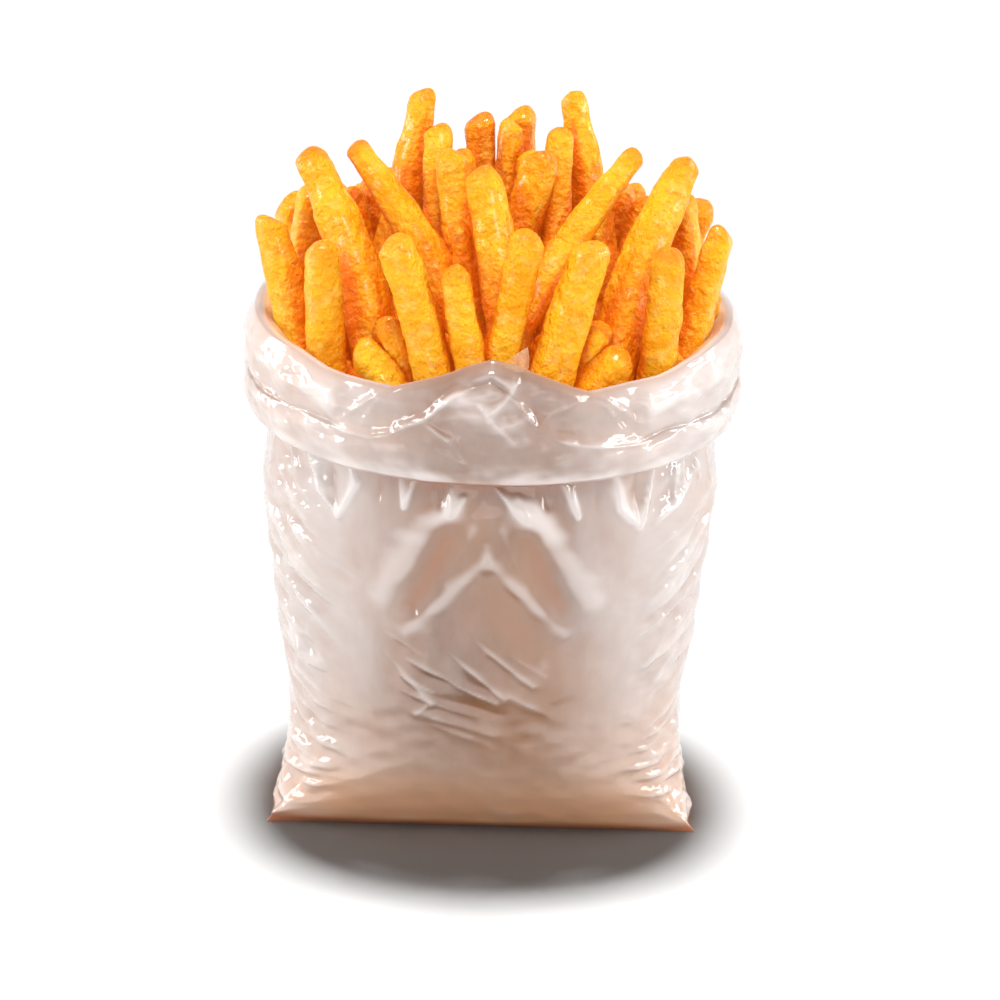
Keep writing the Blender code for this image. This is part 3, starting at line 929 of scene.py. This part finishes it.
def fry_rows(fry, turn, draw, sides, rings):
    """The rings of one fry, with a value for each point for how close it is to the tip and
    to an edge."""
    length = (fry.tip - fry.foot).length
    along = (fry.tip - fry.foot).normalized()
    sideways = along.orthogonal().normalized()
    across = along.cross(sideways)
    blunt = 0.5 * fry.thickness * fry.tip_share / length
    shaft = np.linspace(0, 1 - blunt, rings - END_RINGS)
    dome = 1 - blunt * (1 - np.sin(np.linspace(0, math.pi / 2, END_RINGS + 1)[1:]))
    shares = np.concatenate([shaft, dome])
    angle = np.linspace(0, math.tau, sides, endpoint=False)
    power = FRY_SQUARE
    square = (np.abs(np.cos(angle)) ** power + np.abs(np.sin(angle)) ** power) ** (-1 / power)
    edge = (square - 1) / (square.max() - 1)
    cut = Vector((draw.uniform(-0.5, 0.5), draw.uniform(-0.5, 0.5)))
    flat = draw.uniform(0.88, 1.0)
    rows = np.zeros((len(shares), sides, 3))
    c = math.cos(turn)
    s = math.sin(turn)
    for i, share in enumerate(shares):
        into_dome = max(0.0, (share - (1 - blunt)) / blunt)
        close = max(0.0, 1 - into_dome**END_SQUARE) ** (1 / END_SQUARE)
        reach = fry.reach_at(share) * FRY_PLUMPNESS * max(close, 0.04)
        a = np.cos(angle) * square * reach
        b = np.sin(angle) * square * reach * flat
        slide = (a * cut.x + b * cut.y) * into_dome
        ring = np.outer(a * c - b * s, sideways) + np.outer(a * s + b * c, across)
        rows[i] = ring + np.array(fry.at(share)) + np.outer(slide, along)
    middle = rows.mean(axis=1, keepdims=True)
    outward = rows - middle
    outward /= np.maximum(np.linalg.norm(outward, axis=-1, keepdims=True), 1e-6)
    seed = draw.randrange(10**6)
    lumps = 0.22 * soft_noise(rows, 12, 9.0, seed) + 0.13 * soft_noise(rows, 16, 3.4, seed + 1)
    rows = rows + outward * lumps[..., None]
    near_tip = 1 - (1 - np.repeat(shares[:, None], sides, axis=1)) * length / fry.thickness
    return rows, near_tip, np.repeat(edge[None, :], len(shares), axis=0)


def join_lofts(name, lofts, values):
    """One mesh of many capped lofts, with a value at each point for each name."""
    faces = []
    start = 0
    for rows in lofts:
        height, width = rows.shape[:2]
        index = start + np.arange(height * width).reshape(height, width)
        faces += ring_faces(index) + cap_faces(index)
        start += height * width
    points = np.concatenate([rows.reshape(-1, 3) for rows in lofts])
    mesh = smooth_mesh(name, points, faces)
    for key, parts in values.items():
        set_values(mesh, key, np.concatenate([part.ravel() for part in parts]))
    return mesh


def set_openness(meshes, rays=10, reach=26.0):
    """Gives each point the share of nearby directions in which no fry stands in the way; the fries'
    material paints shade into the crevices from it.
    """
    draw = np.random.default_rng(8)
    ways = draw.normal(size=(rays, 3))
    ways /= np.linalg.norm(ways, axis=1)[:, None]
    corners = []
    faces = []
    for mesh in meshes:
        start = len(corners)
        corners += [vertex.co.copy() for vertex in mesh.vertices]
        faces += [[start + corner for corner in face.vertices] for face in mesh.polygons]
    tree = BVHTree.FromPolygons(corners, faces)
    ways = [Vector(way) for way in ways]
    for mesh in meshes:
        open_shares = []
        for vertex in mesh.vertices:
            normal = vertex.normal
            start = vertex.co + normal * 0.3 * MM
            clear = 0
            for way in ways:
                aim = (normal * 1.05 + way).normalized()
                clear += tree.ray_cast(start, aim, reach * MM)[0] is None
            open_shares.append(clear / rays)
        set_values(mesh, "open", open_shares)


def add_fry(lofts, values, fry, turn, draw, sides, rings):
    """Adds a fry's rings to the lofts, and what its material reads to the values."""
    rows, tip, edge = fry_rows(fry, turn, draw, sides, rings)
    lofts.append(rows)
    values["tip"].append(tip)
    values["edge"].append(edge)
    values["tint"].append(np.full(tip.shape, draw.random()))


def build_fries():
    """The fries that stand above the rim, as one mesh."""
    draw = random.Random(RANDOM_SEED)
    fries = hand_placed_fries()
    fill_mouth(fries, draw)
    push_apart(fries)
    turns = [math.radians(draw.uniform(0, 90)) for _ in fries]
    lofts = []
    values = {"tip": [], "edge": [], "tint": []}
    for fry, turn in zip(fries, turns):
        add_fry(lofts, values, fry, turn, draw, FRY_SIDES, FRY_RINGS)
    mesh = join_lofts("fries_heap", lofts, values)
    add_piece(mesh, fry_material("fried_potato"), "fries")
    return fries, mesh


# The short fries: random seed, seeds of their spiral and its reach, and how far apart they
# stand at least
SHORT_RANDOM_SEED = 31
SHORT_SEEDS = 420
SHORT_REACH = 0.9
SHORT_SPACING = 5.6
SHORT_LENGTH = 20

# How far from the middle line, for its thickness, a short fry keeps off the film
SHORT_CLEARANCE = 0.7


def build_short_fries(fries):
    """Shorter fries in the gaps between the tall ones, most of them below the rim."""
    draw = random.Random(SHORT_RANDOM_SEED)
    half_width, half_depth, _ = mouth_at(RIM_HEIGHT)
    standing = [fry.at(fry.rim_share()).to_2d() for fry in fries]
    lofts = []
    values = {"tip": [], "edge": [], "tint": []}
    for seed in range(SHORT_SEEDS):
        reach = SHORT_REACH * math.sqrt((seed + 0.5) / SHORT_SEEDS)
        outward = Vector((math.cos(seed * SPIRAL_TURN + 1), math.sin(seed * SPIRAL_TURN + 1)))
        place = Vector((outward.x * half_width, outward.y * half_depth)) * reach
        if any((place - other).length < SHORT_SPACING for other in standing):
            continue
        standing.append(place)
        back = smooth_step(place.y, -8, 18)
        top = draw.uniform(124, 131) + 5 * back
        lean = outward * 0.2 * reach + outward.orthogonal() * draw.uniform(-0.6, 0.6)
        tip = (*(place + lean * (top - RIM_HEIGHT + 8)), top)
        fry = Fry(tip, place, draw.uniform(7, 9), 0.85, 0.3)
        room = SHORT_CLEARANCE * fry.thickness
        fry.foot = into_mouth(Vector((*(place - lean * 8), top - SHORT_LENGTH)), room)
        fry.tip = into_mouth(fry.tip, room)
        turn = draw.uniform(0, 1.5)
        add_fry(lofts, values, fry, turn, draw, SHORT_FRY_SIDES, SHORT_FRY_RINGS)
    mesh = join_lofts("short_fries", lofts, values)
    add_piece(mesh, fry_material("short_fries"), "fries")
    return mesh


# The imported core: the heights of its rings, then the shares of its outline that the rings of
# its domed top have, the dome's height at its edge and its rise
CORE_SIDES = 120
CORE_LEVELS = (3.0, 8.0, 24.0, 52.0, 86.0, 104.0, 116.0)
CORE_DOME_SHARES = (0.97, 0.9, 0.75, 0.55, 0.35, 0.15, 0.03)
CORE_TOP = 117.0
CORE_RISE = 6


def build_core():
    """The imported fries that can't be seen, a dark body under those that show."""
    turn = np.linspace(-math.pi, math.pi, CORE_SIDES, endpoint=False)
    levels = np.array(CORE_LEVELS)[:, None] + np.zeros((1, CORE_SIDES))
    wall = stack(turn[None, :], levels, -HIDDEN_WALL - 1.5)
    dome = []
    for share in CORE_DOME_SHARES:
        ring = wall[-1] * np.array((share, share, 1))
        ring[:, 2] = CORE_TOP + CORE_RISE * (1 - share**2)
        ring[:, 2] += 1.2 * soft_noise(ring, count=10, wavelength=12, seed=77)
        dome.append(ring)
    rows = np.concatenate([wall, np.array(dome)])
    add_piece(loft("packed_core", rows), core_material("packed_core"), "fries")


class Socket:
    """A node's output, so that shader maths reads as plain expressions."""

    def __init__(self, finish, output):
        self.finish = finish
        self.output = output

    def maths(self, operation, *values):
        return self.finish.node("ShaderNodeMath", {"operation": operation}, dict(enumerate(values)))

    def __add__(self, other):
        return self.maths("ADD", self, other)

    def __radd__(self, other):
        return self.maths("ADD", other, self)

    def __sub__(self, other):
        return self.maths("SUBTRACT", self, other)

    def __rsub__(self, other):
        return self.maths("SUBTRACT", other, self)

    def __mul__(self, other):
        return self.maths("MULTIPLY", self, other)

    def __rmul__(self, other):
        return self.maths("MULTIPLY", other, self)

    def __abs__(self):
        return self.maths("ABSOLUTE", self)

    def smooth(self, low, high):
        """0 below one value and 1 above another, with a soft rise between."""
        limits = {"Value": self, "From Min": low, "From Max": high}
        return self.finish.node("ShaderNodeMapRange", {"interpolation_type": "SMOOTHSTEP"}, limits)

    def held(self):
        """The value kept from 0 to 1."""
        return self.finish.node("ShaderNodeClamp", {}, {"Value": self})


class Finish:
    """The look of a material or of the world in the making, from its data, the name of its
    shader and the coordinates that it varies by. Wavelengths and places are in millimetres."""

    def __init__(self, look, shader="Principled BSDF", coordinates="Object"):
        self.look = look
        look.use_nodes = True
        self.tree = look.node_tree
        self.shader = self.tree.nodes[shader]
        self.place = self.node("ShaderNodeTexCoord", {}, {}, coordinates)

    def put(self, socket, value):
        """Sets a socket to a value, or links it to another node's output."""
        if isinstance(value, Socket):
            self.tree.links.new(value.output, socket)
        else:
            socket.default_value = value

    def node(self, kind, settings, sockets, output=0):
        """Adds a node, its settings first and then the values or links of its sockets."""
        made = self.tree.nodes.new(kind)
        for key, value in settings.items():
            setattr(made, key, value)
        for key, value in sockets.items():
            self.put(made.inputs[key], value)
        return Socket(self, made.outputs[output])

    def axis(self, letter):
        """One coordinate of a place, in millimetres."""
        return self.node("ShaderNodeSeparateXYZ", {}, {"Vector": self.place}, letter) * (1 / MM)

    def value(self, attribute):
        """A value that the mesh has at each point."""
        return self.node("ShaderNodeAttribute", {"attribute_name": attribute}, {}, "Fac")

    def noise(self, wavelength, detail=2.0, stretch=(1, 1, 1), shift=0.0):
        """A cloudy value of about 0.3 to 0.7."""
        scale = tuple(1000 / (wavelength * s) for s in stretch)
        sockets = {"Vector": self.place, "Scale": scale, "Location": (shift, shift, shift)}
        place = self.node("ShaderNodeMapping", {"vector_type": "POINT"}, sockets)
        sockets = {"Vector": place, "Scale": 1.0, "Detail": detail}
        return self.node("ShaderNodeTexNoise", {}, sockets)

    def cells(self, wavelength):
        """How far a place is from the nearest of many scattered points, in wavelengths."""
        sockets = {"Vector": self.place, "Scale": 1000 / wavelength}
        return self.node("ShaderNodeTexVoronoi", {}, sockets)

    def mix(self, share, first, second):
        """A colour between two others."""
        settings = {"data_type": "RGBA"}
        return self.node("ShaderNodeMix", settings, {0: share, 6: first, 7: second}, 2)

    def bump(self, height, rise):
        """The surface's relief, from a value and how many millimetres it stands for."""
        return self.node("ShaderNodeBump", {}, {"Height": height, "Distance": rise * MM})

    def finished(self, sockets):
        """The look, once its shader's sockets are set or linked."""
        for key, value in sockets.items():
            self.put(self.shader.inputs[key], value)
        return self.look


def material_finish(name):
    return Finish(bpy.data.materials.new(name))


FILM_PALE = srgb(209, 193, 186)
FILM_RIDGE_HIGHLIGHT = srgb(244, 234, 230)
FILM_WARM_SHADE = srgb(132, 87, 56)
FILM_HOLLOW_SHADE = srgb(170, 106, 62)
FILM_BLUSH = srgb(234, 180, 142)
FILM_PEACH = srgb(244, 176, 122)
FILM_EDGE_SHADE = srgb(190, 100, 40)
FILM_GLOW = srgb(150, 116, 92)
FLAP_WARM = srgb(250, 184, 110)
FLAP_PALE = srgb(250, 214, 170)


def film_material(name):
    """Milky, pearl-like film, paler where it stands free at the sides, and darker and warmer in the
    middle of the front, partly where food lies behind it and partly as painted shade. Its hollows
    carry painted shade and its ridges a painted highlight, and painted shade runs along its bottom
    edge and under the cuff. Its inner side at the rim glows with painted light that stands in for
    light coming through the film."""
    finish = material_finish(name)
    x = finish.axis("X")
    z = finish.axis("Z")
    hollow = finish.value("hollow")
    clouds = finish.noise(34, 2, (1, 1, 1.4))
    streaks = finish.noise(5, 3, (1, 1, 2.2))
    # Darker and warmer in the middle of the front: partly the food behind the film, partly painted
    # shade where less light falls on the front.
    middle = 1 - abs(x).smooth(10, 42)
    doubled = z.smooth(103, 112)
    fades = 0.45 + z.smooth(14, 42) * 0.45 - doubled * 0.1
    warmth_and_shade = middle * fades + (clouds - 0.5) * 0.9 + (streaks - 0.5) * 0.35
    colour = finish.mix(warmth_and_shade.held(), FILM_PALE, FILM_WARM_SHADE)
    colour = finish.mix(clouds.smooth(0.4, 0.68) * 0.22, colour, FILM_BLUSH)
    lower = 1 - (z + (clouds - 0.5) * 20).smooth(6, 46)
    colour = finish.mix(lower * 0.4, colour, FILM_BLUSH)
    low = 1 - (z + (clouds - 0.5) * 14).smooth(2.0, 24.0)
    low = low * (0.75 - abs(x).smooth(32, 50) * 0.6)
    colour = finish.mix(low, colour, FILM_PEACH)
    # Painted shade in the hollows of the creases, weaker on the cuff.
    colour = finish.mix(hollow.smooth(0.05, 1.9) * (0.8 - doubled * 0.5), colour, FILM_HOLLOW_SHADE)
    # Painted highlight on the ridges, strongest on the gathers under the cuff and weaker on the
    # cuff itself.
    ridge_highlight = 0.42 + z.smooth(86, 92) * 0.35 - doubled * 0.2
    colour = finish.mix((0 - hollow).smooth(0.05, 0.9) * ridge_highlight, colour, FILM_RIDGE_HIGHLIGHT)
    # Painted shade in orange-brown along the bottom edge, and a weaker band of it, with warm
    # bounced light, under the cuff's lower edge in the middle.
    hem = 1 - (z + (clouds - 0.5) * 4).smooth(0.8, 4.0)
    under_cuff = z.smooth(99, 103) - z.smooth(104.5, 107)
    edge_shade = (hem * 0.8 + under_cuff * 0.3 * middle).held()
    colour = finish.mix(edge_shade, colour, FILM_EDGE_SHADE)
    fine = finish.noise(1.6, 3, (1.6, 1.6, 1))
    return finish.finished({
        "Base Color": colour,
        "Roughness": (0.35 + (clouds - 0.5) * 0.15).held(),
        "Normal": finish.bump(fine, 0.03),
        # The inner side at the rim glows: painted light standing in for light that comes through
        # the film.
        "Emission Color": finish.mix(finish.value("inside"), (0, 0, 0, 1), FILM_GLOW),
        "Emission Strength": 1.0,
        "IOR": 1.5,
        "Coat Weight": 1.0,
        "Coat Roughness": 0.035,
        "Coat IOR": 1.9,
    })


def flap_material(name):
    """The single layer of film at the loose corner, which lets the fries show through."""
    finish = material_finish(name)
    z = finish.axis("Z")
    clouds = finish.noise(6, 3)
    return finish.finished({
        "Base Color": finish.mix(clouds.smooth(0.35, 0.65), FLAP_WARM, FLAP_PALE),
        "Roughness": 0.2,
        "Alpha": (0.20 - z.smooth(131, 138) * 0.06 + (clouds - 0.5) * 0.6).held(),
        "Normal": finish.bump(finish.noise(2, 3), 0.15),
        "Coat Weight": 0.6,
        "Coat Roughness": 0.06,
    })


FRY_PALE = srgb(255, 192, 38)
FRY_GOLDEN = srgb(254, 162, 4)
FRY_BLOTCH = srgb(255, 208, 84)
FRY_CREVICE_SHADE = srgb(226, 106, 0)
FRY_TOASTED = srgb(214, 100, 8)
FRY_PORE = srgb(190, 100, 16)
FRY_HIGHLIGHT_SPECK = srgb(255, 220, 110)
FRY_GLOW_OPEN = srgb(58, 26, 0)
FRY_GLOW_DEEP = srgb(84, 40, 0)
CORE_SHADE_PALE = srgb(226, 120, 16)
CORE_SHADE_DEEP = srgb(196, 88, 8)


def fry_material(name):
    """Fried potato: a golden crust with paler faces, toasted edges and tips, blisters, and pale
    specks that are painted highlights. It is a deeper orange where the fries stand close together,
    which is painted shade, and it has a faint painted glow, stronger there, that stands in for
    light scattering through the potato."""
    finish = material_finish(name)
    tip = finish.value("tip")
    edge = finish.value("edge")
    tint = finish.value("tint")
    closed = 1 - finish.value("open")
    patches = finish.noise(11, 2)
    blotches = finish.noise(3.2, 3, shift=3.0)
    grain_and_glints = finish.noise(0.8, 3)
    golden = (patches.smooth(0.36, 0.64) * 0.6 + tint * 0.35).held()
    colour = finish.mix(golden, FRY_PALE, FRY_GOLDEN)
    colour = finish.mix(blotches.smooth(0.5, 0.7) * 0.45, colour, FRY_BLOTCH)
    # Painted shade: a deeper orange where nearby fries block the light, in the crevices of the
    # heap.
    colour = finish.mix(closed.smooth(0.05, 0.75) * 0.92, colour, FRY_CREVICE_SHADE)
    toasted = tip.smooth(0.45, 1.0) * (0.15 + tint * 0.55)
    toasted = toasted + edge.smooth(0.6, 1.0) * blotches.smooth(0.42, 0.6) * 0.15
    colour = finish.mix(toasted.held(), colour, FRY_TOASTED)
    pores = 1 - finish.cells(2.6).smooth(0.1, 0.22)
    colour = finish.mix(pores * grain_and_glints.smooth(0.45, 0.6) * 0.6, colour, FRY_PORE)
    # Painted highlight specks: pale dots that stand in for glints on the crust.
    colour = finish.mix(grain_and_glints.smooth(0.54, 0.66) * 0.2, colour, FRY_HIGHLIGHT_SPECK)
    blisters = finish.noise(2.1, 2, shift=7.0)
    return finish.finished({
        "Base Color": colour,
        "Roughness": (0.36 + (blotches - 0.5) * 0.5).held(),
        "Normal": finish.bump(blisters * 2.2 + grain_and_glints * 0.7, 0.75),
        # A faint orange glow, stronger in the crevices: painted light standing in for light that
        # scatters through the potato.
        "Emission Color": finish.mix(closed.smooth(0.1, 0.8), FRY_GLOW_OPEN, FRY_GLOW_DEEP),
        "Emission Strength": 1.0,
        "Subsurface Weight": 0.6,
        "Subsurface Radius": (0.9, 0.5, 0.08),
        "Subsurface Scale": 0.0025,
        "IOR": 1.25,
        "Coat Weight": (blotches.smooth(0.48, 0.58) * 0.6 * (1 - closed)).held(),
        "Coat Roughness": 0.12,
    })


def core_material(name):
    """The mass of fries deep in the bag, in the dark between the ones that show, given a deeper
    orange than the fries as painted shade.
    """
    finish = material_finish(name)
    patches = finish.noise(6, 3)
    return finish.finished({
        "Base Color": finish.mix(patches.smooth(0.35, 0.65), CORE_SHADE_PALE, CORE_SHADE_DEEP),
        "Roughness": 0.5,
        "Normal": finish.bump(finish.noise(2.5, 3), 0.8),
    })


# The camera: its lens and sensor in millimetres, its place in metres, and its turns in degrees
FOCAL_LENGTH = 126.36
SENSOR_WIDTH = 36
CAMERA_PLACE = (0.00275, -0.84022, 0.40193)
CAMERA_TILT = 69
CAMERA_TURN = 1.5


def turned(degrees, axis):
    return Matrix.Rotation(math.radians(degrees), 4, axis)


def add_camera():
    """The photograph's view: 21 degrees down on the front, and turned a little."""
    lens = bpy.data.cameras.new("camera")
    lens.lens = FOCAL_LENGTH
    lens.sensor_width = SENSOR_WIDTH
    camera = bpy.data.objects.new("camera", lens)
    bpy.context.scene.collection.objects.link(camera)
    aim = turned(CAMERA_TILT, "X") @ turned(CAMERA_TURN, "Z")
    camera.matrix_world = Matrix.Translation(CAMERA_PLACE) @ aim
    bpy.context.scene.camera = camera


def add_softbox(name, place, target, size, radiance, lit):
    """A rectangular light that faces a target, as bright to look at as its radiance. It
    lights only the things in one collection, so that the shadow on the floor stays dark."""
    light = bpy.data.lights.new(name, "AREA")
    light.shape = "RECTANGLE"
    light.size, light.size_y = size
    light.energy = radiance * math.pi * size[0] * size[1]
    box = bpy.data.objects.new(name, light)
    bpy.context.scene.collection.objects.link(box)
    aim = (Vector(target) - Vector(place)).to_track_quat("-Z", "Y")
    box.matrix_world = Matrix.Translation(place) @ aim.to_matrix().to_4x4()
    box.light_linking.receiver_collection = lit


# The softboxes beside the bag on both sides: azimuth from the front, height of the middle,
# width, height and radiance. Lengths are in metres here.
SIDE_BOXES = (
    (58, 0.37, 0.12, 0.55, 5.0),
    (82, 0.52, 0.62, 0.08, 14.0),
    (84, 0.34, 0.05, 0.40, 12.0),
    (112, 0.37, 0.16, 0.55, 7.0),
)
SIDE_DISTANCE = 0.9
BAG_MIDDLE = (0, 0, 0.10)

# The softboxes in front: name, place, target, width and height, and radiance
FRONT_BOXES = (
    ("front_top", (0, -0.70, 0.95), BAG_MIDDLE, (0.45, 0.35), 8.0),
    ("front_low", (0, -1.1, 0.16), (0, 0, 0.02), (0.9, 0.3), 0.6),
)

# The lights from above: strength, and tilt and spread in degrees
OVERHEAD_SUN = (2.6, 2, 20)
FLOOR_SUN = (6.7, -5, 9)


def add_lights():
    lit = bpy.data.collections.new("lit_by_softboxes")
    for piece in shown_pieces():
        lit.objects.link(piece)
    for side in (-1, 1):
        for azimuth, level, width, height, radiance in SIDE_BOXES:
            away = math.radians(azimuth)
            x = SIDE_DISTANCE * side * math.sin(away)
            y = -SIDE_DISTANCE * math.cos(away)
            name = f"side_{side}_{azimuth}"
            add_softbox(name, (x, y, level), BAG_MIDDLE, (width, height), radiance, lit)
    for box in FRONT_BOXES:
        add_softbox(*box, lit)
    add_sun("overhead", *OVERHEAD_SUN, lit)
    add_room()


def add_sun(name, strength, tilt, spread, lit):
    """Even light from above, tilted back or forwards, on the things in one collection."""
    light = bpy.data.lights.new(name, "SUN")
    light.energy = strength
    light.angle = math.radians(spread)
    sun = bpy.data.objects.new(name, light)
    bpy.context.scene.collection.objects.link(sun)
    sun.matrix_world = turned(tilt, "X")
    sun.light_linking.receiver_collection = lit


# How bright the room is at the horizon and high up, and how far up it fades
ROOM_LOW = 0.9
ROOM_HIGH = 0.14
ROOM_FADE = 0.4


def add_room():
    """A plain room, bright low down and darker above."""
    world = bpy.data.worlds.new("room")
    bpy.context.scene.world = world
    finish = Finish(world, "Background", "Generated")
    height = finish.node("ShaderNodeSeparateXYZ", {}, {"Vector": finish.place}, "Z")
    strength = between(ROOM_LOW, ROOM_HIGH, height.smooth(0.0, ROOM_FADE))
    finish.finished({"Color": (1, 1, 1, 1), "Strength": strength})


FLOOR_HALF = 4.0
FLOOR_GREY = (0.45, 0.45, 0.45, 1)


def add_floor():
    """A plain pale floor with a light of its own, which casts the shadow under the bag."""
    around_middle = ((-1, -1), (1, -1), (1, 1), (-1, 1))
    corners = [(x * FLOOR_HALF, y * FLOOR_HALF, 0) for x, y in around_middle]
    mesh = bpy.data.meshes.new("floor")
    mesh.from_pydata(corners, [], [(0, 1, 2, 3)])
    finish = material_finish("floor")
    mesh.materials.append(finish.finished({"Base Color": FLOOR_GREY, "Roughness": 0.9}))
    floor = bpy.data.objects.new("floor", mesh)
    bpy.context.scene.collection.objects.link(floor)
    lit = bpy.data.collections.new("lit_by_floor_sun")
    lit.objects.link(floor)
    add_sun("floor_sun", *FLOOR_SUN, lit)


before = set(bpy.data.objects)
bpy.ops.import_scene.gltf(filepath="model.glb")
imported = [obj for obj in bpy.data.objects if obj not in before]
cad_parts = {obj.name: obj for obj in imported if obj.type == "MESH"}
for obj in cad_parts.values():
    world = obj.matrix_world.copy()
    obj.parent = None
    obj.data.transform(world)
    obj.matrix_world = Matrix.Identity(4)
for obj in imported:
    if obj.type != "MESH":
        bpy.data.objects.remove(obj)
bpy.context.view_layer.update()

bpy.context.scene.view_settings.view_transform = "Standard"
light_paths = bpy.context.scene.cycles
light_paths.max_bounces = 4
light_paths.diffuse_bounces = 2
light_paths.glossy_bounces = 2
add_camera()
build_body()
build_cuff()
build_flap()
fries, tall_mesh = build_fries()
short_mesh = build_short_fries(fries)
set_openness([tall_mesh, short_mesh])
build_core()
add_lights()
add_floor()
